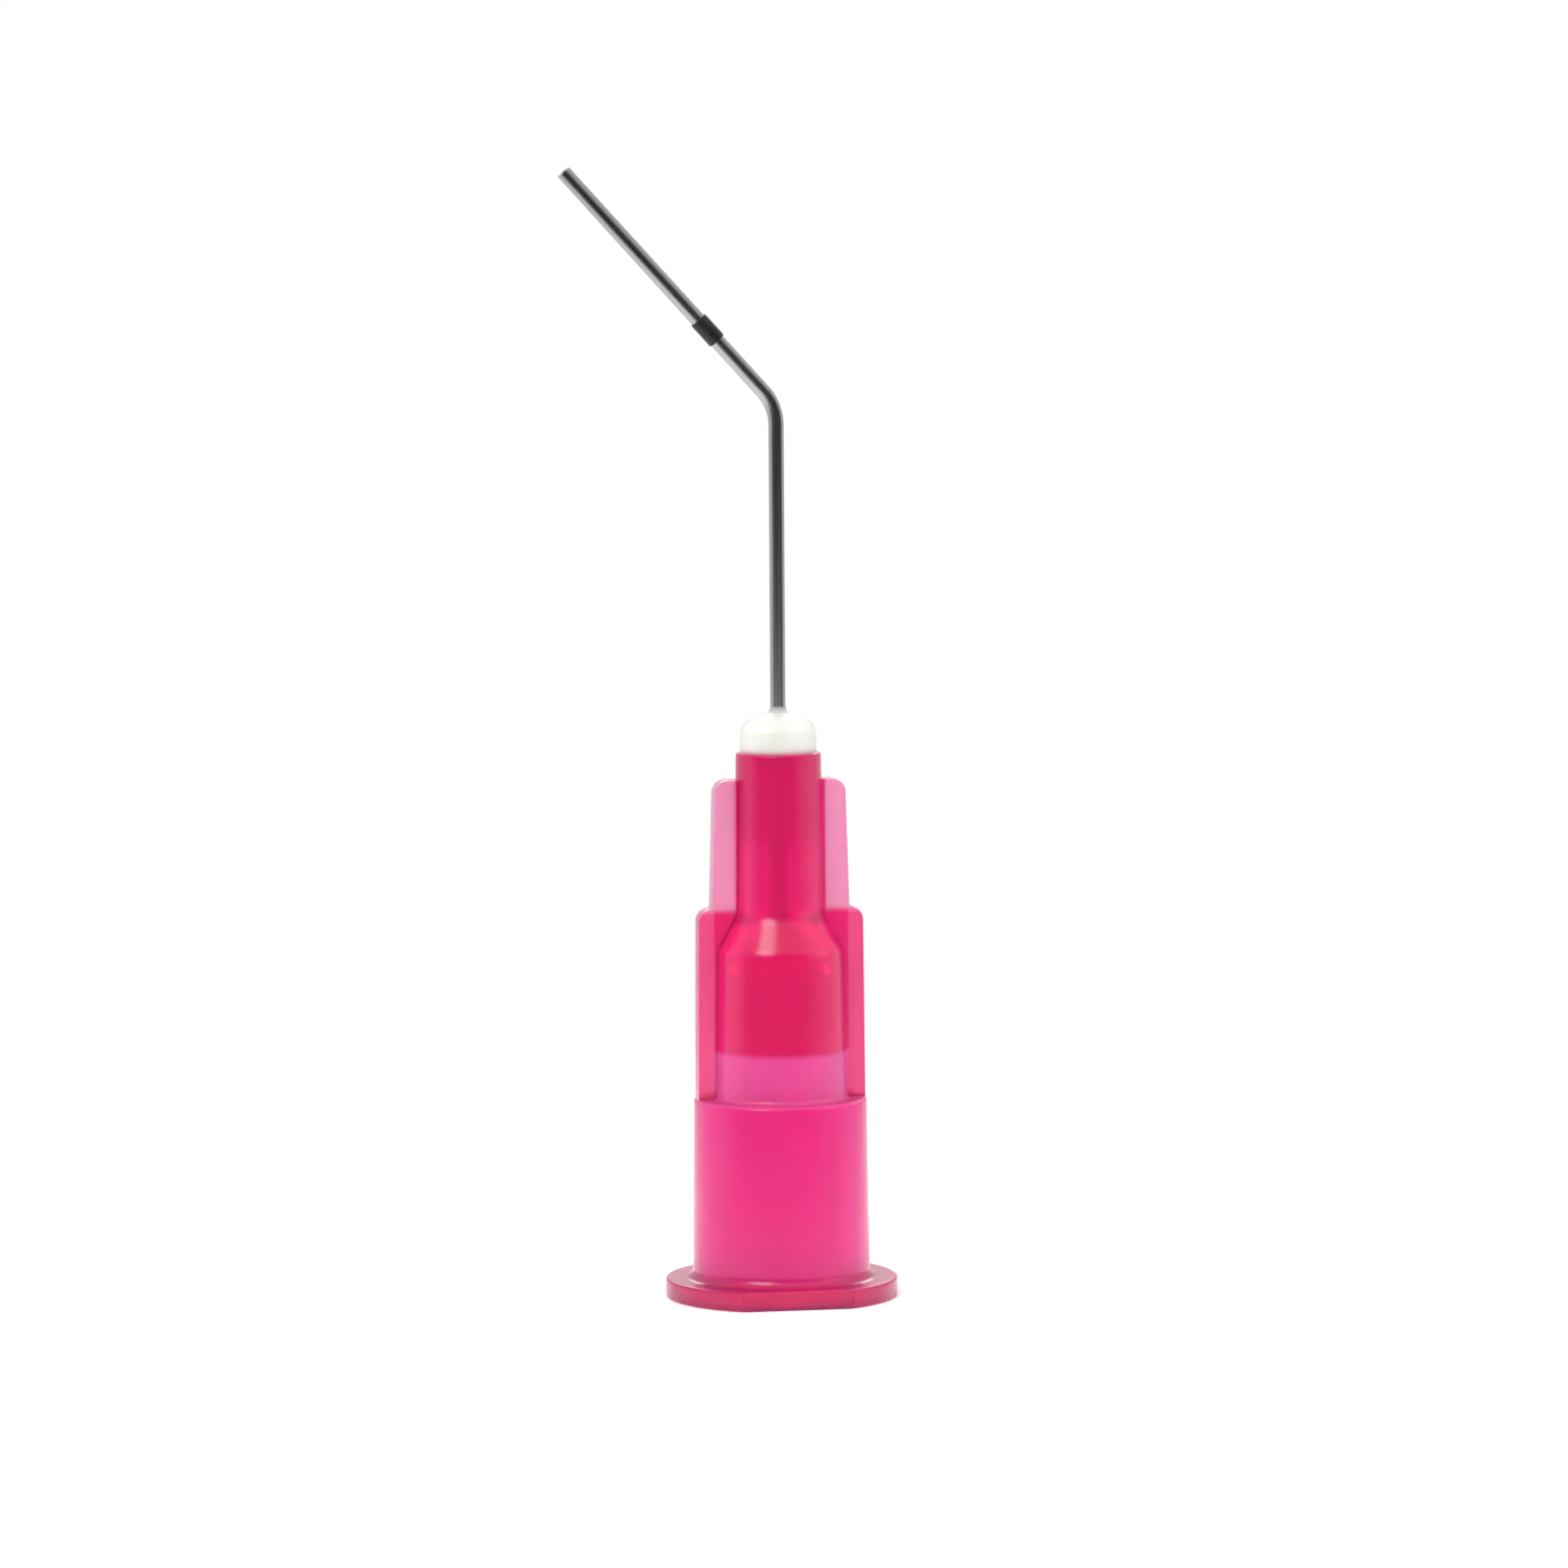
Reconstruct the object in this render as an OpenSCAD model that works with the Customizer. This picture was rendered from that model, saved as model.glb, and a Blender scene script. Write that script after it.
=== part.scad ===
// Dispensing needle tip: a bent stainless cannula bonded into a moulded luer-lock hub.
// It stands on its lock flange. Z runs up the hub's axis from the centre of the socket's mouth,
// and the cannula bends towards -X, in the plane of the two grip wings.

/* [Lock flange and skirt] */
// Diameter across the two locking lugs
lug_d = 7.8; // [7.3:0.05:9.4]
// Width of the flange across its two flats
flange_flats = 6.8; // [6.3:0.05:7.3]
// Thickness of the flange at its rim
flange_t = 0.65; // [0.5:0.05:1]
// Edge round on the flange's rim
flange_edge = 0.1; // [0.05:0.01:0.2]
// Fillet between the flange and the skirt
flange_fillet = 0.35; // [0.2:0.05:0.5]
// Diameter of the skirt at the flange
skirt_d = 5.95; // [5.7:0.05:6.2]
// Diameter of the skirt at its top edge
skirt_top_d = 5.8; // [5.65:0.05:5.95]
// Height of the skirt's top edge above the mouth
skirt_h = 6.7; // [5.5:0.1:8.1]
// Edge round at the top of the skirt
skirt_edge = 0.12; // [0.05:0.01:0.2]

/* [Barrel, shoulder and neck] */
// Diameter of the barrel just above the skirt
barrel_d = 4.5; // [4.4:0.05:4.8]
// Fillet between the skirt's top and the barrel
barrel_fillet = 0.15; // [0.05:0.01:0.25]
// Diameter of the barrel where the shoulder starts
barrel_top_d = 4.3; // [4:0.05:4.5]
// Length of the barrel from the skirt to the shoulder
barrel_l = 5; // [4.2:0.1:6]
// Length of the sloping shoulder
shoulder_l = 1.15; // [0.9:0.05:1.5]
// Round where the barrel turns into the shoulder
shoulder_round = 0.8; // [0.3:0.1:1]
// Fillet where the shoulder turns into the neck
neck_fillet = 1.1; // [0.4:0.1:1.4]
// Diameter of the neck at the shoulder
neck_d = 3; // [2.9:0.05:3.4]
// Diameter of the neck at its top
neck_top_d = 2.85; // [2.7:0.05:3]
// Length of the neck from the shoulder to the top
neck_l = 5.45; // [4.6:0.1:6.5]
// Edge round at the top of the neck
neck_edge = 0.1; // [0.05:0.01:0.15]

/* [Grip wings] */
// Thickness of a wing
wing_t = 0.8; // [0.6:0.05:1]
// Edge round along a wing's rim
wing_edge = 0.22; // [0.1:0.02:0.28]
// Corner radius of a wing, seen from the side
wing_corner = 0.45; // [0.3:0.05:0.5]
// Span of the lower wings at the skirt
low_wing_w = 5.66; // [5.4:0.02:5.7]
// Span of the lower wings at their top
low_wing_top_w = 5.56; // [5.3:0.02:5.64]
// Height of the lower wings above the skirt
low_wing_h = 6.4; // [5.4:0.1:7]
// Span of the upper wings where they leave the lower ones
up_wing_w = 4.64; // [4.4:0.02:4.8]
// Span of the upper wings at their top
up_wing_top_w = 4.4; // [4.2:0.02:4.6]
// Drop from the top of the neck to the top of the upper wings
up_wing_drop = 0.9; // [0.5:0.1:1.5]

/* [Socket and passage] */
// Diameter of the luer socket at its mouth
socket_d = 4.3; // [4.2:0.01:4.4]
// Loss of socket diameter for each millimetre of depth
socket_taper = 0.06; // [0.05:0.005:0.07]
// Depth of the luer socket
socket_depth = 8.2; // [7.5:0.1:9.9]
// Chamfer at the socket's mouth
socket_lead = 0.1; // [0.05:0.01:0.15]
// Diameter of the chamber behind the socket
chamber_d = 2.5; // [2:0.1:3]
// Length of the chamber behind the socket
chamber_l = 2.7; // [2.2:0.1:3.3]
// Length of the funnel that leads to the cannula
funnel_l = 1.45; // [1.2:0.05:1.8]
// Diameter of the adhesive well around the cannula
well_d = 1.9; // [1.5:0.1:2.1]
// Depth of the adhesive well from the top of the neck
well_depth = 2.9; // [2.4:0.1:3.5]

/* [Cannula] */
// Outer diameter of the cannula
tube_d = 0.51; // [0.4:0.01:0.65]
// Inner diameter of the cannula
tube_bore = 0.26; // [0.15:0.01:0.32]
// Diametral clearance of the cannula in the hub
tube_clearance = 0.02; // [0.01:0.01:0.04]
// Height of the bend's corner above the hub
bend_rise = 11.55; // [9:0.05:14]
// Angle of the bend away from the hub's axis
bend_angle = 42.18; // [30:0.01:60]
// Radius of the bend at the middle of the cannula
bend_r = 1.65; // [1.3:0.05:2]
// Length from the bend's corner to the open end
tip_l = 10.5; // [8.7:0.1:12.7]

/* [Depth band and adhesive] */
// Outer diameter of the depth band
band_d = 0.61; // [0.56:0.01:0.8]
// Length of the depth band
band_l = 0.95; // [0.7:0.05:1.2]
// Edge round of the depth band
band_edge = 0.04; // [0.01:0.01:0.04]
// Distance from the bend's corner to the middle of the depth band
band_from_corner = 3.4; // [2.5:0.1:6]
// Diameter of the adhesive bead on top of the neck
bead_d = 2.55; // [2.2:0.05:2.6]
// Height of the adhesive bead above the neck
bead_h = 1.25; // [1:0.05:1.6]
// Round at the bead's shoulder
bead_round = 0.7; // [0.4:0.05:0.85]
// Radius of the meniscus that climbs the cannula
bead_climb = 0.28; // [0.1:0.02:0.3]

/* [Hidden] */
$fn = 96;
// Straight steps in each small arc of an outline
arc_steps = 6;
// Overlap that carries a cut past the face it leaves by
past = 0.5;

barrel_top_z = skirt_h + barrel_l;
neck_z = barrel_top_z + shoulder_l;
hub_h = neck_z + neck_l;
socket_end_d = socket_d - socket_taper * socket_depth;
chamber_top_z = socket_depth + chamber_l;
funnel_top_z = chamber_top_z + funnel_l;
well_floor_z = hub_h - well_depth;
passage_d = tube_d + tube_clearance;

low_wing_z = skirt_h + low_wing_h;
up_wing_z = hub_h - up_wing_drop;

// The bend takes this much off the straight runs on both sides of its corner
bend_setback = bend_r * tan(bend_angle / 2);
bend_start_z = hub_h + bend_rise - bend_setback;
tip_run = tip_l - bend_setback;

// Corners of the moulding's half outline, up its outside from the mouth to the top of the neck:
// distance from the axis, height, and the radius of the arc that rounds or fills the corner
HUB_CORNERS = [
    [0, 0, 0],
    [lug_d / 2, 0, flange_edge],
    [lug_d / 2, flange_t, flange_edge],
    [skirt_d / 2, flange_t, flange_fillet],
    [skirt_top_d / 2, skirt_h, skirt_edge],
    [barrel_d / 2, skirt_h, barrel_fillet],
    [barrel_top_d / 2, barrel_top_z, shoulder_round],
    [neck_d / 2, neck_z, neck_fillet],
    [neck_top_d / 2, hub_h, neck_edge],
    [0, hub_h, 0]
];

function spot(corner) = [corner[0], corner[1]];
function toward(from, to) = (to - from) / norm(to - from);
function bearing(v) = atan2(v[1], v[0]);
// The shorter way round from one angle to another
function turn(from, to) = (to - from + 540) % 360 - 180;

function arc(centre, radius, from, to) = [
    for (step = [0:arc_steps])
        centre + radius * [cos(from + (to - from) * step / arc_steps), sin(from + (to - from) * step / arc_steps)]
];

// The arc that is tangent to both legs of a corner and rounds or fills it
function corner_arc(before, corner, after, radius) =
    let (
        leg_a = toward(corner, before),
        leg_b = toward(corner, after),
        half = acos(leg_a * leg_b) / 2,
        centre = corner + toward([0, 0], leg_a + leg_b) * radius / sin(half),
        from = bearing(corner + leg_a * radius / tan(half) - centre),
        to = bearing(corner + leg_b * radius / tan(half) - centre)
    )
    arc(centre, radius, from, from + turn(from, to));

// A closed outline with an arc of the given radius at each corner. The first and last corners stay sharp
module rounded_outline(corners) {
    last = len(corners) - 1;
    polygon([
        for (i = [0:last])
            each i > 0 && i < last && corners[i][2] > 0
                ? corner_arc(spot(corners[i - 1]), spot(corners[i]), spot(corners[i + 1]), corners[i][2])
                : [spot(corners[i])]
    ]);
}

// The round flange is cut to two flats, which leaves a locking lug on each side
module flange_flats_cut() {
    for (side = [-1, 1])
        translate([-lug_d, side > 0 ? flange_flats / 2 : -flange_flats / 2 - lug_d, -past])
            cube([2 * lug_d, lug_d, flange_t + flange_fillet + past]);
}

// Cross section through a wing's rim: x runs out to the rim, y across the thickness
module wing_rim_section() {
    rounded_outline([
        [0, -wing_t / 2, 0],
        [wing_corner, -wing_t / 2, wing_edge],
        [wing_corner, wing_t / 2, wing_edge],
        [0, wing_t / 2, 0]
    ]);
}

// A flat leaf below and inside the origin, with its rounded rim swept up its side, round its corner and along its top
module wing_leaf(width, length) {
    translate([-width, -wing_t / 2, -length])
        cube([width - wing_corner, wing_t, length - wing_corner]);
    translate([-wing_corner, 0, -length])
        linear_extrude(height = length - wing_corner)
            wing_rim_section();
    translate([-wing_corner, 0, -wing_corner]) {
        rotate([90, 0, 0])
            rotate_extrude(angle = 90)
                wing_rim_section();
        rotate([0, -90, 0])
            linear_extrude(height = width - wing_corner)
                wing_rim_section();
    }
}

// One wing on the +X side. It leans in from its foot to its top, and its root is buried in the moulding
module wing(foot_x, top_x, foot_z, top_z) {
    lean = atan((foot_x - top_x) / (top_z - foot_z));
    translate([top_x, 0, top_z])
        rotate([0, -lean, 0])
            wing_leaf(top_x, (top_z - foot_z) / cos(lean) + past);
}

module wings() {
    for (side = [0, 1])
        mirror([side, 0, 0]) {
            wing(low_wing_w / 2, low_wing_top_w / 2, skirt_h, low_wing_z);
            wing(up_wing_w / 2, up_wing_top_w / 2, low_wing_z, up_wing_z);
        }
}

// Luer socket, chamber, funnel, passage for the cannula and adhesive well, on one axis
module hub_passage() {
    mouth_r = socket_d / 2;
    rotate_extrude()
        polygon([
            [0, -past],
            [mouth_r + socket_lead + past, -past],
            [mouth_r - socket_taper * socket_lead / 2, socket_lead],
            [socket_end_d / 2, socket_depth],
            [chamber_d / 2, socket_depth],
            [chamber_d / 2, chamber_top_z],
            [passage_d / 2, funnel_top_z],
            [passage_d / 2, well_floor_z],
            [well_d / 2, well_floor_z],
            [well_d / 2, hub_h + past],
            [0, hub_h + past]
        ]);
}

module hub() {
    color("deeppink")
        difference() {
            union() {
                rotate_extrude()
                    rounded_outline(HUB_CORNERS);
                wings();
            }
            flange_flats_cut();
            hub_passage();
        }
}

module tube_section() {
    difference() {
        circle(d = tube_d);
        circle(d = tube_bore);
    }
}

// Places its children on the bent run, at a distance up it from the end of the bend
module on_tip_run(distance) {
    translate([-bend_r, 0, bend_start_z])
        rotate([0, -bend_angle, 0])
            translate([bend_r, 0, distance])
                children();
}

// A straight run up from the funnel, the bend, and the straight run to the open end
module cannula() {
    color("silver") {
        translate([0, 0, funnel_top_z])
            linear_extrude(height = bend_start_z - funnel_top_z)
                tube_section();
        translate([-bend_r, 0, bend_start_z])
            rotate([90, 0, 0])
                rotate_extrude(angle = bend_angle)
                    translate([bend_r, 0])
                        tube_section();
        on_tip_run(0)
            linear_extrude(height = tip_run)
                tube_section();
    }
}

// Adhesive that fills the well around the cannula and stands proud of the neck in a drop with round shoulders
module adhesive_bead() {
    tube_r = tube_d / 2;
    shoulder_r = bead_d / 2 - bead_round;
    top_z = hub_h + bead_h;
    color("ivory")
        rotate_extrude()
            polygon(concat(
                [
                    [tube_r, well_floor_z],
                    [well_d / 2, well_floor_z],
                    [well_d / 2, hub_h],
                    [bead_d / 2, hub_h]
                ],
                arc([shoulder_r, top_z - bead_round], bead_round, 0, 90),
                arc([tube_r + bead_climb, top_z + bead_climb], bead_climb, 270, 180)
            ));
}

// A thin collar of lacquer around the bent run, with rounded edges
module depth_band() {
    tube_r = tube_d / 2;
    band_r = band_d / 2;
    color("black")
        on_tip_run(band_from_corner - bend_setback - band_l / 2)
            rotate_extrude()
                rounded_outline([
                    [tube_r, 0, 0],
                    [band_r, 0, band_edge],
                    [band_r, band_l, band_edge],
                    [tube_r, band_l, 0]
                ]);
}

hub();
cannula();
adhesive_bead();
depth_band();
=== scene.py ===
"""Dispensing needle tip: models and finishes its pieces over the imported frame, and sets the stage."""

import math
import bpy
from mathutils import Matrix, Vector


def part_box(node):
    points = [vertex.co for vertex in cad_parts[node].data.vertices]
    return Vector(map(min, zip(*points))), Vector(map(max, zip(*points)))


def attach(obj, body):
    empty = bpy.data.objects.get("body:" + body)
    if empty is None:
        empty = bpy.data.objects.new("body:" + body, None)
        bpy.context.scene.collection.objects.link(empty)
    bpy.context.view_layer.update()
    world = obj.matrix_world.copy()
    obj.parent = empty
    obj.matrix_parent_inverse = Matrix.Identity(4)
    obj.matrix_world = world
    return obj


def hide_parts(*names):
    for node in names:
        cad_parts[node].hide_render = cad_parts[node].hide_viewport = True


bl_info = {
    "name": "Dispensing Needle Tip",
    "version": (1, 0, 0),
    "blender": (4, 5, 0),
    "location": "View3D > Sidebar > Needle Tip",
    "description": "Models a bent luer-lock dispensing tip and the studio it is shown in",
    "category": "Object",
}

import bpy
from mathutils import Matrix, Vector

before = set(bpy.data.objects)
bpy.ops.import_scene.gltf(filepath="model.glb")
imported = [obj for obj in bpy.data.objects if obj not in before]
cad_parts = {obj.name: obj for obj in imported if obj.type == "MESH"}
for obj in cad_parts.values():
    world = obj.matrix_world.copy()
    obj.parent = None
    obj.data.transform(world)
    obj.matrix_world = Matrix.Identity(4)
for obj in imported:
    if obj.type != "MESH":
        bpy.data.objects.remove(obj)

# Pieces are modelled a thousand times life size, one unit to a millimetre, and brought to size at the end
WORK = 1000.0
AROUND = 160
ARC_STEPS = 10
# Vertices closer than this are one, in millimetres
WELD = 1e-5
# How far a cut runs past the surface that it opens, in millimetres
PAST = 1.0
# How far the adhesive bites into the plastic that it wets, in millimetres
WETTING = 0.01
# Middle and height of the blocks that cut the flange's flats, in millimetres
FLAT_CUT_MIDDLE = 0.25
FLAT_CUT_HEIGHT = 1.5
# How far the wings' leaf starts inside the skirt, in millimetres
LEAF_ROOT = 0.5


def length(name, description, millimetres):
    """A length property, given in millimetres and kept in metres."""
    return bpy.props.FloatProperty(
        name=name, description=description, default=millimetres / WORK, unit="LENGTH", precision=6
    )


def colour(name, description, rgb):
    """A linear colour property."""
    return bpy.props.FloatVectorProperty(
        name=name, description=description, default=rgb, subtype="COLOR", size=3, min=0.0, max=1.0
    )


hub_low, hub_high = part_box("hub")
HUB_H = hub_high.z * WORK
LUG_D = (hub_high.x - hub_low.x) * WORK
FLATS = (hub_high.y - hub_low.y) * WORK


class NEEDLETIP_PG_hub(bpy.types.PropertyGroup):
    """Sizes of the moulded hub."""

    height: length("Height", "Height of the neck's top above the mouth", HUB_H)
    lug_d: length("Lug diameter", "Diameter across the two locking lugs", LUG_D)
    flats: length("Flats", "Width of the flange across its two flats", FLATS)
    flange_t: length("Flange thickness", "Thickness of the flange at its rim", 0.65)
    skirt_d: length("Skirt diameter", "Diameter of the skirt at the flange", 5.95)
    skirt_top_d: length("Skirt top diameter", "Diameter of the skirt at its top edge", 5.8)
    skirt_h: length("Skirt height", "Height of the skirt's top edge", 6.7)
    barrel_d: length("Barrel diameter", "Diameter of the barrel above the skirt", 4.5)
    barrel_top_d: length("Barrel top diameter", "Diameter of the barrel at the shoulder", 4.3)
    barrel_top_z: length("Shoulder start", "Height at which the shoulder starts", 11.7)
    neck_z: length("Neck start", "Height at which the neck starts", 12.85)
    neck_d: length("Neck diameter", "Diameter of the neck at the shoulder", 3.0)
    neck_top_d: length("Neck top diameter", "Diameter of the neck at its top", 2.85)
    wing_t: length("Wing thickness", "Thickness of a grip wing", 0.8)
    wing_edge: length("Wing edge", "Edge round along a wing's rim", 0.22)
    wing_corner: length("Wing corner", "Corner radius of a wing", 0.45)
    low_wing_w: length("Lower wing span", "Span of the lower wings at the skirt", 5.66)
    low_wing_top_w: length("Lower wing top span", "Span of the lower wings at their top", 5.56)
    low_wing_z: length("Lower wing top", "Height of the top of the lower wings", 13.1)
    up_wing_w: length("Upper wing span", "Span of the upper wings at their foot", 4.64)
    up_wing_top_w: length("Upper wing top span", "Span of the upper wings at their top", 4.4)
    up_wing_z: length("Upper wing top", "Height of the top of the upper wings", 17.4)
    socket_d: length("Socket diameter", "Diameter of the luer socket at its mouth", 4.3)
    socket_end_d: length("Socket end diameter", "Diameter of the luer socket at its end", 3.808)
    socket_depth: length("Socket depth", "Depth of the luer socket", 8.2)
    chamber_d: length("Chamber diameter", "Diameter of the chamber behind the socket", 2.5)
    chamber_top_z: length("Chamber top", "Height of the top of the chamber", 10.9)
    funnel_top_z: length("Funnel top", "Height at which the funnel meets the cannula", 12.35)
    flange_edge: length("Flange edge", "Edge round of the flange", 0.1)
    flange_fillet: length("Flange fillet", "Fillet between flange and skirt", 0.35)
    skirt_edge: length("Skirt edge", "Edge round at the skirt's top", 0.12)
    barrel_fillet: length("Barrel fillet", "Fillet between skirt and barrel", 0.15)
    shoulder_round: length("Shoulder round", "Round where the barrel turns into the shoulder", 0.8)
    neck_fillet: length("Neck fillet", "Fillet between shoulder and neck", 1.1)
    neck_edge: length("Neck edge", "Edge round at the neck's top", 0.1)
    socket_lead: length("Socket lead", "Chamfer at the socket's mouth", 0.1)
    passage_d: length("Passage diameter", "Diameter of the passage around the cannula", 0.53)
    well_d: length("Well diameter", "Diameter of the adhesive well", 1.9)
    well_floor_z: length("Well floor", "Height of the floor of the adhesive well", 15.4)


class NEEDLETIP_PG_cannula(bpy.types.PropertyGroup):
    """Sizes of the cannula, its band and its adhesive."""

    tube_d: length("Outer diameter", "Outer diameter of the cannula", 0.51)
    tube_bore: length("Lumen", "Inner diameter of the cannula", 0.26)
    rim: length("Deburring", "Chamfer on the edges at both ends of the cannula", 0.015)
    foot_z: length("Foot", "Height of the lower end of the cannula", 12.35)
    corner_z: length("Bend corner", "Height of the corner of the bend", 29.85)
    bend_angle: bpy.props.FloatProperty(
        name="Bend", description="Angle of the bend", default=math.radians(42.18), subtype="ANGLE"
    )
    bend_r: length("Bend radius", "Radius of the bend at the middle of the tube", 1.65)
    tip_l: length("Tip length", "Length from the bend's corner to the open end", 10.5)
    band_d: length("Band diameter", "Outer diameter of the depth band", 0.61)
    band_l: length("Band length", "Length of the depth band", 0.95)
    band_edge: length("Band edge", "Edge round of the band", 0.04)
    band_from_corner: length("Band place", "From the bend's corner to the middle of the band", 3.4)
    bead_d: length("Bead diameter", "Diameter of the adhesive bead", 2.55)
    bead_h: length("Bead height", "Height of the adhesive bead above the neck", 1.25)
    bead_round: length("Bead round", "Round at the bead's shoulder", 0.7)
    bead_climb: length("Meniscus", "Radius of the meniscus that climbs the cannula", 0.28)


class NEEDLETIP_PG_finish(bpy.types.PropertyGroup):
    """Colours and finishes."""

    # Painted shade and painted light: the hub is one dyed plastic, painted deeper where its moulding is thick
    # (flange, skirt, solid body) and paler in its thin collar and wings, in place of the light that passes
    # through it.
    plastic: colour(
        "Plastic", "Colour of the neck, shoulder and barrel, where the moulding is solid", (0.8, 0.024, 0.21)
    )
    skirt: colour("Skirt plastic", "Colour of the skirt, around the open socket", (0.84, 0.04, 0.35))
    flange: colour("Flange plastic", "Colour of the lock flange and its lugs", (0.76, 0.018, 0.19))
    collar: colour("Collar plastic", "Colour of the thin wall above the skirt", (0.88, 0.15, 0.5))
    # Painted light: the thin wings are painted paler than the body.
    low_wing_painted_light: colour("Lower wing plastic", "Colour of the lower grip wings", (0.82, 0.12, 0.31))
    up_wing_painted_light: colour("Upper wing plastic", "Colour of the upper grip wings", (0.84, 0.4, 0.58))
    dye: colour("Dye", "What the dye in the plastic lets through", (0.962, 0.04, 0.615))
    steel: colour("Steel", "Colour of the drawn stainless tube", (0.44, 0.44, 0.43))
    adhesive: colour("Adhesive", "Colour of the cured adhesive", (0.88, 0.89, 0.84))
    # Painted tint: the adhesive inside the neck is painted pink in place of the light that reaches it through
    # the pink hub.
    painted_tint_through_hub: colour(
        "Stained adhesive", "Colour of the adhesive inside the neck, which takes up dye", (0.82, 0.16, 0.34)
    )
    lacquer: colour("Lacquer", "Colour of the depth band", (0.008, 0.008, 0.008))
    floor: colour("Floor", "Colour of the floor", (0.93, 0.93, 0.93))


# ---- modelling by operators ----


def in_millimetres(group):
    """The lengths of a property group, by name, in the units that pieces are modelled in."""
    return {key: getattr(group, key) * WORK for key in group.__annotations__}


def deselect_all():
    """Leaves edit mode and selects nothing, so that the next operator acts on its own piece."""
    if bpy.context.object and bpy.context.object.mode != "OBJECT":
        bpy.ops.object.mode_set(mode="OBJECT")
    bpy.ops.object.select_all(action="DESELECT")


def toward(start, end):
    """The direction from one point to another."""
    return (end - start).normalized()


def arc(centre, radius, start, end, steps=ARC_STEPS):
    """Points on an arc in the plane of the outline, from one angle to another."""
    angles = [start + (end - start) * step / steps for step in range(steps + 1)]
    return [centre + radius * Vector((math.cos(a), math.sin(a))) for a in angles]


def corner_arc(before, corner, after, radius):
    """The arc that is tangent to both legs of a corner."""
    leg_a, leg_b = toward(corner, before), toward(corner, after)
    half = leg_a.angle(leg_b) / 2
    centre = corner + (leg_a + leg_b).normalized() * radius / math.sin(half)
    reach = radius / math.tan(half)
    first, last = corner + leg_a * reach - centre, corner + leg_b * reach - centre
    start = math.atan2(first.y, first.x)
    sweep = (math.atan2(last.y, last.x) - start + math.pi) % (2 * math.pi) - math.pi
    return arc(centre, radius, start, start + sweep)


def rounded(corners):
    """Outline points from (across, up, radius) corners, with an arc at each corner that has a radius."""
    spots = [Vector(corner[:2]) for corner in corners]
    points = []
    for i, (_, _, radius) in enumerate(corners):
        if radius:
            points += corner_arc(spots[i - 1], spots[i], spots[(i + 1) % len(spots)], radius)
        else:
            points.append(spots[i])
    return points


def trace(name, points):
    """A closed wire in the XZ plane, drawn by extruding a vertex from point to point."""
    deselect_all()
    path = [Vector((point.x, 0.0, point.y)) for point in points]
    bpy.ops.mesh.primitive_plane_add(size=0.1)
    piece = bpy.context.object
    piece.name = piece.data.name = name
    bpy.ops.object.mode_set(mode="EDIT")
    bpy.ops.mesh.merge(type="CENTER")
    bpy.ops.transform.translate(value=path[0])
    for here, there in zip(path, path[1:] + path[:1]):
        bpy.ops.mesh.extrude_region_move(TRANSFORM_OT_translate={"value": there - here})
    bpy.ops.mesh.select_all(action="SELECT")
    bpy.ops.mesh.remove_doubles(threshold=WELD)
    return piece


def close_up():
    """Welds the mesh being edited and turns its faces outwards."""
    bpy.ops.mesh.select_all(action="SELECT")
    bpy.ops.mesh.remove_doubles(threshold=WELD)
    bpy.ops.mesh.normals_make_consistent(inside=False)
    bpy.ops.object.mode_set(mode="OBJECT")


def turned(name, points, steps=AROUND):
    """A solid of revolution about Z, spun from a closed outline."""
    piece = trace(name, points)
    bpy.ops.mesh.select_all(action="SELECT")
    bpy.ops.mesh.spin(steps=steps, angle=2 * math.pi, center=(0, 0, 0), axis=(0, 0, 1))
    close_up()
    return piece


def combine(piece, tool, operation):
    """Adds another solid to a piece or cuts it away, and removes the other solid."""
    deselect_all()
    piece.select_set(True)
    bpy.context.view_layer.objects.active = piece
    boolean = piece.modifiers.new(operation.title(), "BOOLEAN")
    boolean.operation = operation
    boolean.solver = "EXACT"
    boolean.object = tool
    bpy.ops.object.modifier_apply(modifier=boolean.name)
    bpy.data.objects.remove(tool)


def finish_piece(piece, node, material, smooth_deg=30.0):
    """Brings a piece to life size, shades and dresses it, and lets it stand for its CAD node."""
    deselect_all()
    piece.select_set(True)
    bpy.context.view_layer.objects.active = piece
    bpy.ops.object.transform_apply(location=True, rotation=True, scale=True)
    piece.scale = (1 / WORK,) * 3
    bpy.ops.object.transform_apply(location=False, rotation=False, scale=True)
    bpy.ops.object.shade_smooth_by_angle(angle=math.radians(smooth_deg))
    piece.data.materials.clear()
    piece.data.materials.append(material)
    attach(piece, "root")
    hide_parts(node)


# ---- materials ----


def new_material(name):
    material = bpy.data.materials.new(name)
    material.use_nodes = True
    tree = material.node_tree
    return material, tree, tree.nodes["Principled BSDF"]


def set_inputs(node, values):
    for name, value in values.items():
        node.inputs[name].default_value = value


def object_coordinates(tree, scale=(1.0, 1.0, 1.0), turn=0.0):
    """Object coordinates, turned about Y and then stretched."""
    place = tree.nodes.new("ShaderNodeTexCoord")
    turned_to = tree.nodes.new("ShaderNodeMapping")
    stretched = tree.nodes.new("ShaderNodeMapping")
    turned_to.inputs["Rotation"].default_value = (0.0, turn, 0.0)
    stretched.inputs["Scale"].default_value = scale
    tree.links.new(place.outputs["Object"], turned_to.inputs["Vector"])
    tree.links.new(turned_to.outputs["Vector"], stretched.inputs["Vector"])
    return stretched.outputs["Vector"]


def across(tree, value, edge, blend):
    """A mask that goes from nothing to all where a value in metres passes an edge in millimetres."""
    node = tree.nodes.new("ShaderNodeMapRange")
    node.interpolation_type = "SMOOTHSTEP"
    set_inputs(node, {"From Min": (edge - blend) / WORK, "From Max": (edge + blend) / WORK})
    tree.links.new(value, node.inputs["Value"])
    return node.outputs["Result"]


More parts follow.
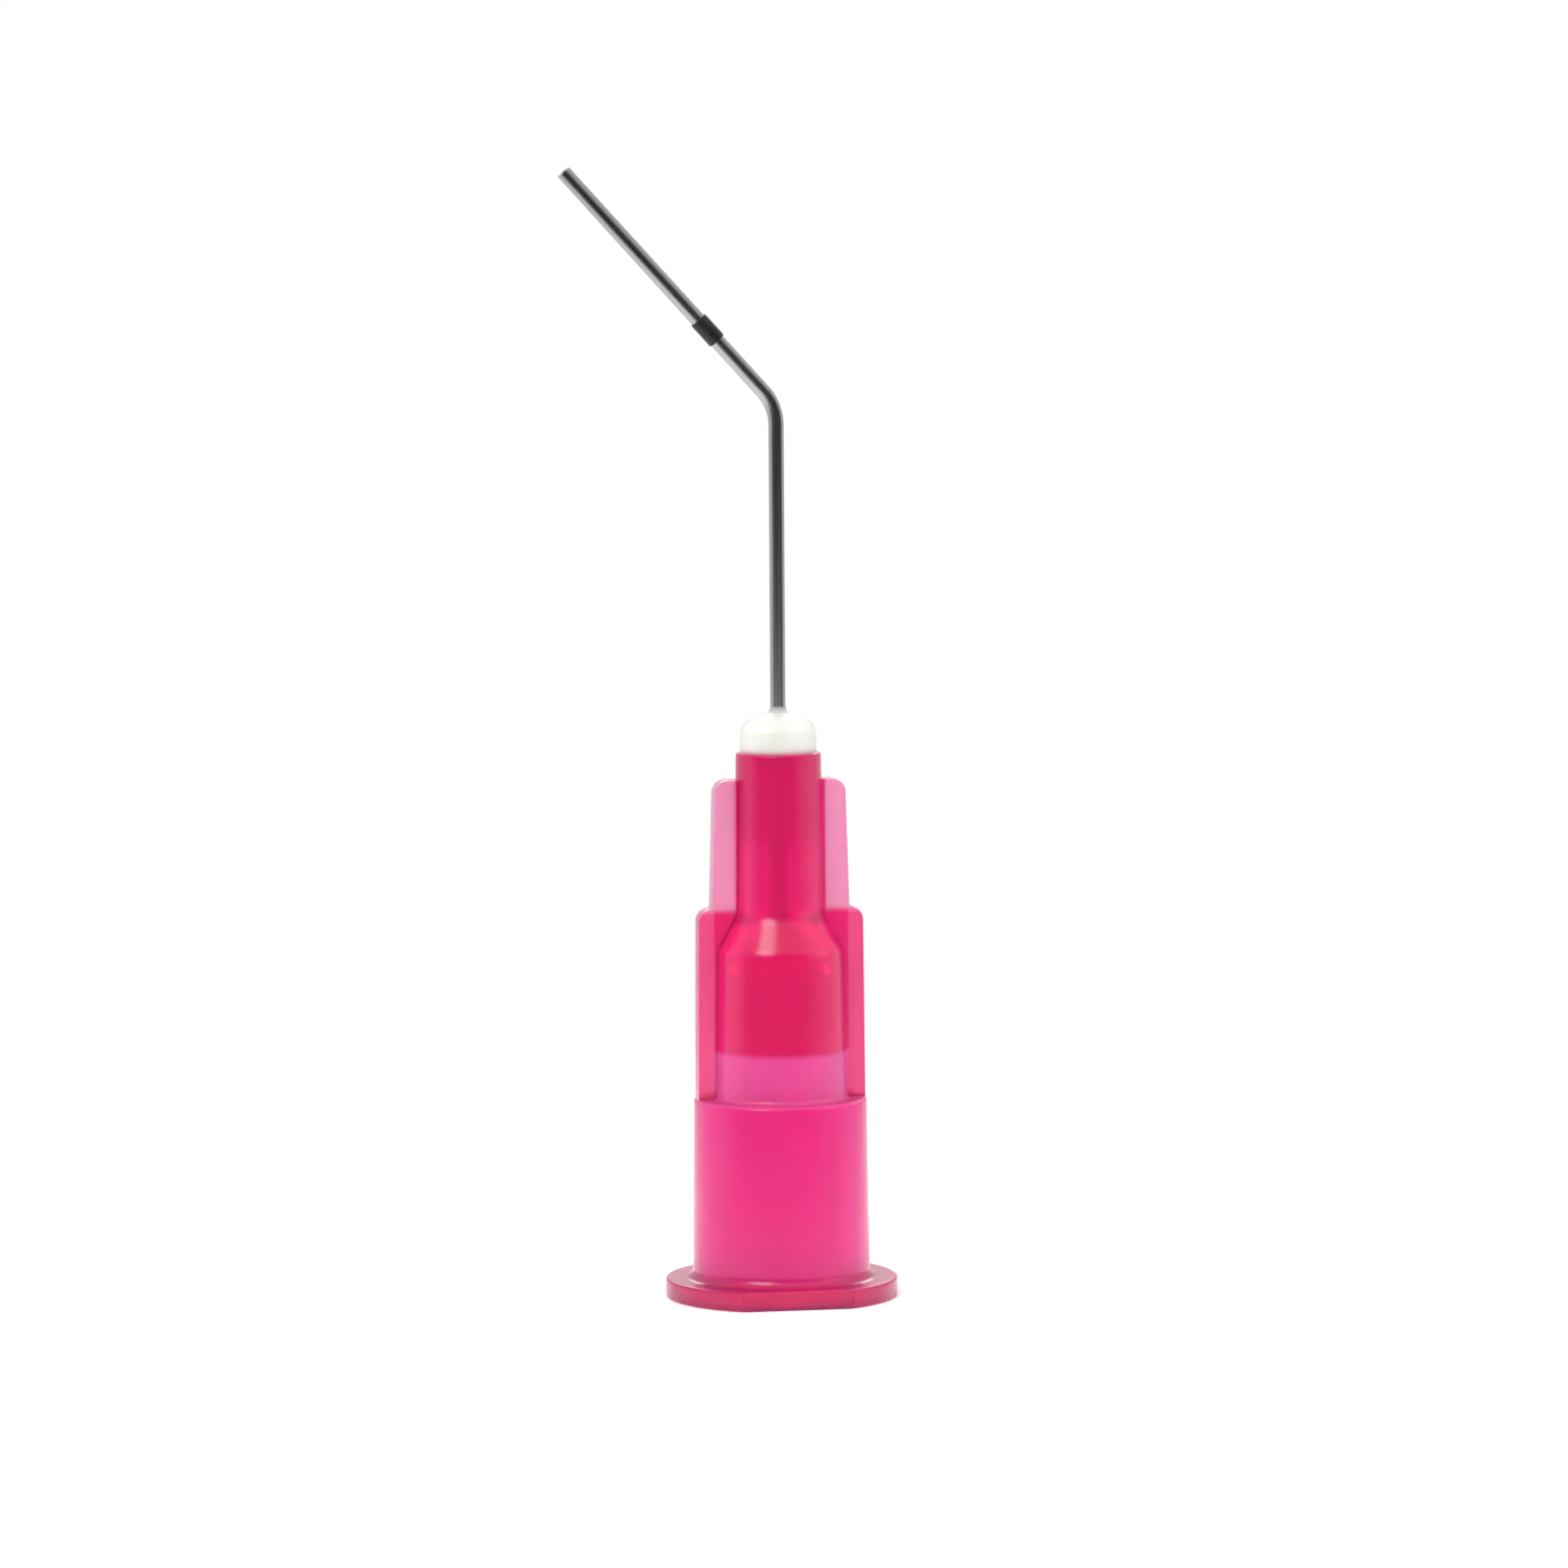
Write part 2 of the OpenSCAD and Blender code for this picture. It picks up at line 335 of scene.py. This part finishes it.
def above(tree, height, blend):
    """A mask of what lies above a height."""
    parts = tree.nodes.new("ShaderNodeSeparateXYZ")
    tree.links.new(object_coordinates(tree), parts.inputs["Vector"])
    return across(tree, parts.outputs["Z"], height, blend)


def outside(tree, radius, blend):
    """A mask of what lies further from the axis than a radius."""
    reach = tree.nodes.new("ShaderNodeVectorMath")
    reach.operation = "LENGTH"
    tree.links.new(object_coordinates(tree, scale=(1.0, 1.0, 0.0)), reach.inputs[0])
    return across(tree, reach.outputs["Value"], radius, blend)


def maths(tree, operation, *values):
    node = tree.nodes.new("ShaderNodeMath")
    node.operation = operation
    for socket, value in zip(node.inputs, values):
        tree.links.new(value, socket)
    return node.outputs["Value"]


def mixed(tree, factor, low, high):
    """Mixes two colours or colour sockets."""
    node = tree.nodes.new("ShaderNodeMix")
    node.data_type = "RGBA"
    tree.links.new(factor, node.inputs["Factor"])
    for socket, value in (("A", low), ("B", high)):
        if isinstance(value, bpy.types.NodeSocket):
            tree.links.new(value, node.inputs[socket])
        else:
            node.inputs[socket].default_value = (*value, 1.0)
    return node.outputs["Result"]


def noise(tree, vector, scale, detail):
    """A noise whose grains are about one over scale metres wide."""
    node = tree.nodes.new("ShaderNodeTexNoise")
    set_inputs(node, {"Scale": scale, "Detail": detail, "Roughness": 0.55})
    tree.links.new(vector, node.inputs["Vector"])
    return node.outputs["Fac"]


def spread(tree, value, low, high):
    """Maps a noise to the range of a finish."""
    node = tree.nodes.new("ShaderNodeMapRange")
    set_inputs(node, {"From Min": 0.3, "From Max": 0.7, "To Min": low, "To Max": high})
    tree.links.new(value, node.inputs["Value"])
    return node.outputs["Result"]


def bump(tree, shader, height, distance, strength):
    node = tree.nodes.new("ShaderNodeBump")
    set_inputs(node, {"Distance": distance, "Strength": strength})
    tree.links.new(height, node.inputs["Height"])
    tree.links.new(node.outputs["Normal"], shader.inputs["Normal"])


def shade(rgb, factor):
    """A colour made darker or lighter."""
    return tuple(min(1.0, channel * factor) for channel in rgb)


def plastic_material(finish, mm):
    """Dyed milky polypropylene, painted deeper in colour where the moulding is thick and paler in its thin
    walls: painted shade and painted light for the light that passes through it.
    """
    material, tree, shader = new_material("dyed polypropylene")
    flow = noise(tree, object_coordinates(tree, scale=(1.0, 1.0, 0.35)), 420.0, 2.0)
    grain = noise(tree, object_coordinates(tree), 3200.0, 2.0)
    # Painted shade in the flange, skirt and solid body, and painted light in the thin collar and wings.
    upper_wings = above(tree, mm["low_wing_z"] - 0.1, 0.15)
    body = mixed(tree, above(tree, mm["flange_t"] + 0.2, 0.25), finish.flange, finish.skirt)
    body = mixed(tree, above(tree, mm["skirt_h"], 0.1), body, finish.collar)
    body = mixed(tree, above(tree, mm["socket_depth"] + 0.1, 0.12), body, finish.plastic)
    wing = mixed(tree, upper_wings, finish.low_wing_painted_light, finish.up_wing_painted_light)
    above_skirt = above(tree, mm["skirt_h"] + 0.02, 0.03)
    lower = maths(tree, "MULTIPLY", outside(tree, mm["barrel_d"] / 2 + 0.05, 0.03), above_skirt)
    upper = maths(tree, "MULTIPLY", outside(tree, mm["neck_d"] / 2 + 0.07, 0.05), upper_wings)
    body = mixed(tree, lower, body, wing)
    body = mixed(tree, upper, body, wing)
    uneven = tree.nodes.new("ShaderNodeHueSaturation")
    tree.links.new(body, uneven.inputs["Color"])
    tree.links.new(spread(tree, flow, 0.95, 1.04), uneven.inputs["Value"])
    tree.links.new(uneven.outputs["Color"], shader.inputs["Base Color"])
    set_inputs(shader, {
        "IOR": 1.45,
        "Transmission Weight": 0.6,
        "Subsurface Weight": 1.0,
        "Subsurface Radius": (1.0, 0.25, 0.5),
        "Subsurface Scale": 0.0005,
    })
    tree.links.new(spread(tree, grain, 0.17, 0.24), shader.inputs["Roughness"])
    bump(tree, shader, grain, 0.000002, 0.4)
    volume = tree.nodes.new("ShaderNodeVolumeAbsorption")
    set_inputs(volume, {"Color": (*finish.dye, 1.0), "Density": 520.0})
    tree.links.new(volume.outputs["Volume"], tree.nodes["Material Output"].inputs["Volume"])
    return material


def steel_material(finish, corner_z, bend_angle):
    """Drawn stainless tube: fine lines along its straight and its bent run, and a soft gloss."""
    material, tree, shader = new_material("drawn stainless steel")
    along = (1.0, 1.0, 0.01)
    choice = tree.nodes.new("ShaderNodeMix")
    tree.links.new(above(tree, corner_z * WORK, 0.3), choice.inputs["Factor"])
    for socket, turn in (("A", 0.0), ("B", bend_angle)):
        drawn = noise(tree, object_coordinates(tree, scale=along, turn=turn), 12000.0, 2.0)
        tree.links.new(drawn, choice.inputs[socket])
    lines = choice.outputs["Result"]
    cloud = noise(tree, object_coordinates(tree), 900.0, 2.0)
    shader.inputs["Metallic"].default_value = 1.0
    tree.links.new(mixed(tree, cloud, shade(finish.steel, 0.85), finish.steel), shader.inputs["Base Color"])
    tree.links.new(spread(tree, lines, 0.24, 0.34), shader.inputs["Roughness"])
    bump(tree, shader, lines, 0.0000006, 0.35)
    return material


def adhesive_material(finish, neck_z):
    """Cured epoxy: milky and a little glossy above the neck, and painted pink inside it, a painted tint for
    the light that reaches it through the pink hub.
    """
    material, tree, shader = new_material("cured epoxy")
    cloud = noise(tree, object_coordinates(tree), 1100.0, 3.0)
    set_inputs(shader, {
        "IOR": 1.5,
        "Transmission Weight": 0.35,
        "Subsurface Weight": 0.6,
        "Subsurface Radius": (1.0, 1.0, 0.9),
        "Subsurface Scale": 0.0005,
    })
    milky = mixed(tree, cloud, shade(finish.adhesive, 0.96), finish.adhesive)
    # Painted tint below the neck's top, where the adhesive is seen through the hub.
    colour_at = mixed(tree, above(tree, neck_z * WORK, 0.12), finish.painted_tint_through_hub, milky)
    tree.links.new(colour_at, shader.inputs["Base Color"])
    tree.links.new(spread(tree, cloud, 0.12, 0.2), shader.inputs["Roughness"])
    bump(tree, shader, cloud, 0.00001, 0.4)
    return material


def lacquer_material(finish):
    """Black lacquer with a soft gloss and a slightly uneven coat."""
    material, tree, shader = new_material("black lacquer")
    cloud = noise(tree, object_coordinates(tree), 3500.0, 3.0)
    coat = mixed(tree, cloud, finish.lacquer, shade(finish.lacquer, 2.5))
    tree.links.new(coat, shader.inputs["Base Color"])
    tree.links.new(spread(tree, cloud, 0.28, 0.42), shader.inputs["Roughness"])
    shader.inputs["Specular IOR Level"].default_value = 0.35
    bump(tree, shader, cloud, 0.000004, 0.4)
    return material


def floor_material(finish):
    """Pale matt paper near the tip, which fades into the white world away from it."""
    material, tree, shader = new_material("pale floor")
    grain = noise(tree, object_coordinates(tree), 60.0, 2.0)
    tree.links.new(mixed(tree, grain, shade(finish.floor, 0.995), finish.floor), shader.inputs["Base Color"])
    set_inputs(shader, {"Roughness": 0.9, "Specular IOR Level": 0.0})
    reach = tree.nodes.new("ShaderNodeVectorMath")
    reach.operation = "LENGTH"
    tree.links.new(object_coordinates(tree), reach.inputs[0])
    fade = tree.nodes.new("ShaderNodeMapRange")
    fade.interpolation_type = "SMOOTHSTEP"
    set_inputs(fade, {"From Min": 0.02, "From Max": 0.09})
    tree.links.new(reach.outputs["Value"], fade.inputs["Value"])
    clear = tree.nodes.new("ShaderNodeBsdfTransparent")
    blend = tree.nodes.new("ShaderNodeMixShader")
    tree.links.new(fade.outputs["Result"], blend.inputs["Fac"])
    tree.links.new(shader.outputs["BSDF"], blend.inputs[1])
    tree.links.new(clear.outputs["BSDF"], blend.inputs[2])
    tree.links.new(blend.outputs["Shader"], tree.nodes["Material Output"].inputs["Surface"])
    return material


# ---- pieces ----


def leaf_outline(mm):
    """The stepped outline of both grip wings in one leaf, with rounded corners, from the skirt to the top."""
    foot_z = mm["skirt_h"] - LEAF_ROOT
    low_lean = (mm["low_wing_w"] - mm["low_wing_top_w"]) / 2 / (mm["low_wing_z"] - mm["skirt_h"])
    foot_x = mm["low_wing_w"] / 2 + LEAF_ROOT * low_lean
    right = [
        (foot_x, foot_z, 0.0),
        (mm["low_wing_top_w"] / 2, mm["low_wing_z"], mm["wing_corner"]),
        (mm["up_wing_w"] / 2, mm["low_wing_z"], 0.0),
        (mm["up_wing_top_w"] / 2, mm["up_wing_z"], mm["wing_corner"]),
    ]
    left = [(-x, z, r) for x, z, r in reversed(right)]
    return rounded(right + left)


class NEEDLETIP_OT_hub(bpy.types.Operator):
    """Model the hub: turned body, two stepped grip wings, flats on the flange and the passage inside"""

    bl_idname = "needle_tip.hub"
    bl_label = "Moulded Hub"

    def execute(self, context):
        hub = context.scene.needle_tip_hub
        mm = in_millimetres(hub)
        body = turned("hub_moulding", rounded([
            (0.0, 0.0, 0.0),
            (mm["lug_d"] / 2, 0.0, mm["flange_edge"]),
            (mm["lug_d"] / 2, mm["flange_t"], mm["flange_edge"]),
            (mm["skirt_d"] / 2, mm["flange_t"], mm["flange_fillet"]),
            (mm["skirt_top_d"] / 2, mm["skirt_h"], mm["skirt_edge"]),
            (mm["barrel_d"] / 2, mm["skirt_h"], mm["barrel_fillet"]),
            (mm["barrel_top_d"] / 2, mm["barrel_top_z"], mm["shoulder_round"]),
            (mm["neck_d"] / 2, mm["neck_z"], mm["neck_fillet"]),
            (mm["neck_top_d"] / 2, mm["height"], mm["neck_edge"]),
            (0.0, mm["height"], 0.0),
        ]))
        combine(body, self.wing_leaf(mm), "UNION")
        combine(body, self.passage(mm), "DIFFERENCE")
        for side in (-1, 1):
            combine(body, self.flat_cutter(mm, side), "DIFFERENCE")
        bpy.ops.object.mode_set(mode="EDIT")
        close_up()
        finish_piece(body, "hub", plastic_material(context.scene.needle_tip_finish, mm))
        return {"FINISHED"}

    def wing_leaf(self, mm):
        """One flat leaf that makes both wings. Its rim is bevelled on both sides."""
        leaf = trace("wing_leaf", leaf_outline(mm))
        bpy.ops.mesh.select_all(action="SELECT")
        bpy.ops.mesh.edge_face_add()
        bpy.ops.transform.translate(value=(0.0, -mm["wing_t"] / 2, 0.0))
        bpy.ops.mesh.extrude_region_move(TRANSFORM_OT_translate={"value": (0.0, mm["wing_t"], 0.0)})
        close_up()
        bevel = leaf.modifiers.new("Rim", "BEVEL")
        bevel.width = mm["wing_edge"]
        bevel.segments = 5
        bevel.limit_method = "ANGLE"
        bevel.angle_limit = math.radians(60)
        bpy.ops.object.modifier_apply(modifier=bevel.name)
        return leaf

    def passage(self, mm):
        """Everything that is open inside the hub, as one solid to cut away."""
        lead = mm["socket_lead"]
        taper = (mm["socket_d"] - mm["socket_end_d"]) / 2 / mm["socket_depth"]
        return turned("passage", [Vector(p) for p in [
            (0.0, -PAST),
            (mm["socket_d"] / 2 + lead + PAST, -PAST),
            (mm["socket_d"] / 2 - taper * lead, lead),
            (mm["socket_end_d"] / 2, mm["socket_depth"]),
            (mm["chamber_d"] / 2, mm["socket_depth"]),
            (mm["chamber_d"] / 2, mm["chamber_top_z"]),
            (mm["passage_d"] / 2, mm["funnel_top_z"]),
            (mm["passage_d"] / 2, mm["well_floor_z"]),
            (mm["well_d"] / 2, mm["well_floor_z"]),
            (mm["well_d"] / 2, mm["height"] + PAST),
            (0.0, mm["height"] + PAST),
        ]])

    def flat_cutter(self, mm, side):
        """A block that cuts one flat on the flange."""
        deselect_all()
        reach = mm["lug_d"]
        middle = (0.0, side * (mm["flats"] / 2 + reach / 2), FLAT_CUT_MIDDLE)
        bpy.ops.mesh.primitive_cube_add(size=1.0, location=middle)
        cutter = bpy.context.object
        cutter.scale = (2 * reach, reach, FLAT_CUT_HEIGHT)
        bpy.ops.object.transform_apply(location=True, rotation=False, scale=True)
        return cutter


def bend_frame(cannula):
    """The bend's setback, its start height and the direction of the bent run, in millimetres."""
    setback = cannula.bend_r * WORK * math.tan(cannula.bend_angle / 2)
    start_z = cannula.corner_z * WORK - setback
    way = Vector((-math.sin(cannula.bend_angle), 0.0, math.cos(cannula.bend_angle)))
    return setback, start_z, way


class NEEDLETIP_OT_cannula(bpy.types.Operator):
    """Model the cannula: a ring drawn up, spun round the bend and drawn out to its open end"""

    bl_idname = "needle_tip.cannula"
    bl_label = "Bent Cannula"

    def execute(self, context):
        cannula = context.scene.needle_tip_cannula
        setback, start_z, way = bend_frame(cannula)
        foot = cannula.foot_z * WORK
        bend_r = cannula.bend_r * WORK
        deselect_all()
        tube_r = cannula.tube_d * WORK / 2
        bpy.ops.mesh.primitive_circle_add(vertices=64, radius=tube_r, location=(0, 0, foot))
        tube = bpy.context.object
        tube.name = tube.data.name = "cannula_tube"
        bpy.ops.object.mode_set(mode="EDIT")
        bpy.ops.mesh.select_all(action="SELECT")
        bpy.ops.mesh.extrude_region_move(TRANSFORM_OT_translate={"value": (0, 0, start_z - foot)})
        bpy.ops.mesh.spin(
            steps=36, angle=cannula.bend_angle, center=(-bend_r, 0, start_z), axis=(0, 1, 0)
        )
        bpy.ops.mesh.extrude_region_move(
            TRANSFORM_OT_translate={"value": way * (cannula.tip_l * WORK - setback)}
        )
        close_up()
        wall = tube.modifiers.new("Wall", "SOLIDIFY")
        wall.thickness = (cannula.tube_d - cannula.tube_bore) * WORK / 2
        wall.offset = -1.0
        wall.use_even_offset = True
        bpy.ops.object.modifier_apply(modifier=wall.name)
        rim = tube.modifiers.new("Deburred ends", "BEVEL")
        rim.width = cannula.rim * WORK
        rim.segments = 3
        rim.limit_method = "ANGLE"
        rim.angle_limit = math.radians(60)
        bpy.ops.object.modifier_apply(modifier=rim.name)
        finish_piece(tube, "cannula", steel_material(
            context.scene.needle_tip_finish, cannula.corner_z, cannula.bend_angle
        ))
        return {"FINISHED"}


class NEEDLETIP_OT_adhesive(bpy.types.Operator):
    """Model the adhesive: a fill in the well and a drop with a meniscus above the neck"""

    bl_idname = "needle_tip.adhesive"
    bl_label = "Adhesive Bead"

    def execute(self, context):
        hub, cannula = context.scene.needle_tip_hub, context.scene.needle_tip_cannula
        tube_r = cannula.tube_d * WORK / 2
        well_r = hub.well_d * WORK / 2 + WETTING
        floor_z = hub.well_floor_z * WORK
        neck_z = hub.height * WORK - WETTING
        bead_r = cannula.bead_d * WORK / 2
        crown = cannula.bead_round * WORK
        climb = cannula.bead_climb * WORK
        top_z = (hub.height + cannula.bead_h) * WORK
        fill = [(tube_r, floor_z), (well_r, floor_z), (well_r, neck_z), (bead_r, neck_z)]
        outline = [Vector(corner) for corner in fill]
        outline += arc(Vector((bead_r - crown, top_z - crown)), crown, 0.0, math.pi / 2)
        outline += arc(Vector((tube_r + climb, top_z + climb)), climb, 1.5 * math.pi, math.pi)
        drop = turned("adhesive_drop", outline, 96)
        epoxy = adhesive_material(context.scene.needle_tip_finish, hub.height)
        finish_piece(drop, "adhesive_bead", epoxy)
        return {"FINISHED"}


class NEEDLETIP_OT_band(bpy.types.Operator):
    """Model the depth band: a thin lacquer collar with rounded edges on the bent run"""

    bl_idname = "needle_tip.band"
    bl_label = "Depth Band"

    def execute(self, context):
        cannula = context.scene.needle_tip_cannula
        tube_r = cannula.tube_d * WORK / 2
        band_r = cannula.band_d * WORK / 2
        half = cannula.band_l * WORK / 2
        edge = cannula.band_edge * WORK
        collar = turned("band_collar", rounded([
            (tube_r, -half, 0.0),
            (band_r, -half, edge),
            (band_r, half, edge),
            (tube_r, half, 0.0),
        ]), 64)
        _, _, way = bend_frame(cannula)
        corner = Vector((0.0, 0.0, cannula.corner_z * WORK))
        collar.data.transform(
            Matrix.Translation(corner + way * cannula.band_from_corner * WORK)
            @ Matrix.Rotation(-cannula.bend_angle, 4, "Y")
        )
        finish_piece(collar, "depth_band", lacquer_material(context.scene.needle_tip_finish))
        return {"FINISHED"}


class NEEDLETIP_OT_stage(bpy.types.Operator):
    """Set the floor, the studio light and the camera"""

    bl_idname = "needle_tip.stage"
    bl_label = "Stage"

    def execute(self, context):
        deselect_all()
        bpy.ops.mesh.primitive_circle_add(vertices=96, radius=0.3, fill_type="NGON")
        floor = bpy.context.object
        floor.name = "floor"
        floor.data.materials.append(floor_material(context.scene.needle_tip_finish))
        self.studio_world(context.scene)
        self.lamp("key", (-0.16, -0.2, 0.22), 0.16, 1.0, False)
        self.lamp("fill", (0.24, -0.12, 0.1), 0.2, 0.45, False)
        self.lamp("back", (0.05, 0.26, 0.2), 0.2, 0.5, True)
        self.camera(context.scene)
        context.scene.view_settings.view_transform = "Standard"
        return {"FINISHED"}

    def lamp(self, name, place, size, power, mirrored):
        """A square soft lamp that faces the middle of the tip, and that steel may mirror or not."""
        data = bpy.data.lights.new(name, "AREA")
        data.size = size
        data.energy = power
        lamp = bpy.data.objects.new(name, data)
        lamp.location = place
        lamp.visible_glossy = mirrored
        lamp.rotation_mode = "QUATERNION"
        aim = Vector((0.0, 0.0, 0.018)) - Vector(place)
        lamp.rotation_quaternion = aim.to_track_quat("-Z", "Y")
        bpy.context.scene.collection.objects.link(lamp)

    def studio_world(self, scene):
        """White to the eye and through clear plastic, and dark in front of the tip for steel to mirror."""
        world = bpy.data.worlds.new("studio")
        world.use_nodes = True
        scene.world = world
        tree = world.node_tree
        sky = tree.nodes["Background"]
        place = tree.nodes.new("ShaderNodeTexCoord")
        parts = tree.nodes.new("ShaderNodeSeparateXYZ")
        tree.links.new(place.outputs["Generated"], parts.inputs["Vector"])
        front = self.ramp(tree, parts.outputs["Y"], (-0.55, 0.1), (1.0, 0.0))
        high = maths(tree, "ABSOLUTE", parts.outputs["Z"])
        band = self.ramp(tree, high, (0.3, 0.75), (1.0, 0.0))
        dark = maths(tree, "MULTIPLY", front, band)
        room = self.ramp(tree, dark, (0.0, 1.0), (0.85, 0.03))
        path = tree.nodes.new("ShaderNodeLightPath")
        seen = maths(tree, "MAXIMUM", path.outputs["Is Camera Ray"], path.outputs["Is Transmission Ray"])
        level = tree.nodes.new("ShaderNodeMix")
        tree.links.new(seen, level.inputs["Factor"])
        tree.links.new(room, level.inputs["A"])
        level.inputs["B"].default_value = 1.0
        tree.links.new(level.outputs["Result"], sky.inputs["Strength"])
        sky.inputs["Color"].default_value = (1.0, 1.0, 1.0, 1.0)

    def ramp(self, tree, value, span, result):
        """A smooth step from one result to another as a value crosses a span."""
        node = tree.nodes.new("ShaderNodeMapRange")
        node.interpolation_type = "SMOOTHSTEP"
        node.inputs["From Min"].default_value, node.inputs["From Max"].default_value = span
        node.inputs["To Min"].default_value, node.inputs["To Max"].default_value = result
        tree.links.new(value, node.inputs["Value"])
        return node.outputs["Result"]

    def camera(self, scene):
        """A long lens a little above the floor, turned slightly to the side of the bend."""
        azimuth, elevation, roll = math.radians(-9.5), math.radians(5.0), math.radians(-0.37)
        target, view_width, lens = Vector((0.00019, 0.0, 0.01722)), 0.05238, 150.0
        data = bpy.data.cameras.new("camera")
        data.lens = lens
        data.clip_start = 0.001
        camera = bpy.data.objects.new("camera", data)
        back = Vector((
            math.sin(azimuth) * math.cos(elevation),
            -math.cos(azimuth) * math.cos(elevation),
            math.sin(elevation),
        ))
        camera.location = target + back * view_width * lens / data.sensor_width
        camera.rotation_mode = "QUATERNION"
        camera.rotation_quaternion = (
            back.to_track_quat("Z", "Y") @ Matrix.Rotation(roll, 3, "Z").to_quaternion()
        )
        scene.collection.objects.link(camera)
        scene.camera = camera


class NEEDLETIP_PT_panel(bpy.types.Panel):
    """Lists the steps that build the tip."""

    bl_label = "Needle Tip"
    bl_space_type = "VIEW_3D"
    bl_region_type = "UI"
    bl_category = "Needle Tip"

    def draw(self, context):
        for step in STEPS:
            self.layout.operator(step.bl_idname)


STEPS = (
    NEEDLETIP_OT_hub,
    NEEDLETIP_OT_cannula,
    NEEDLETIP_OT_adhesive,
    NEEDLETIP_OT_band,
    NEEDLETIP_OT_stage,
)
GROUPS = {
    "needle_tip_hub": NEEDLETIP_PG_hub,
    "needle_tip_cannula": NEEDLETIP_PG_cannula,
    "needle_tip_finish": NEEDLETIP_PG_finish,
}
CLASSES = (*GROUPS.values(), *STEPS, NEEDLETIP_PT_panel)


def register():
    for cls in CLASSES:
        bpy.utils.register_class(cls)
    for name, group in GROUPS.items():
        setattr(bpy.types.Scene, name, bpy.props.PointerProperty(type=group))


def unregister():
    for name in GROUPS:
        delattr(bpy.types.Scene, name)
    for cls in reversed(CLASSES):
        bpy.utils.unregister_class(cls)


def main():
    register()
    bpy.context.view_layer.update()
    bpy.ops.needle_tip.hub()
    bpy.ops.needle_tip.cannula()
    bpy.ops.needle_tip.adhesive()
    bpy.ops.needle_tip.band()
    bpy.ops.needle_tip.stage()


if __name__ == "__main__":
    main()
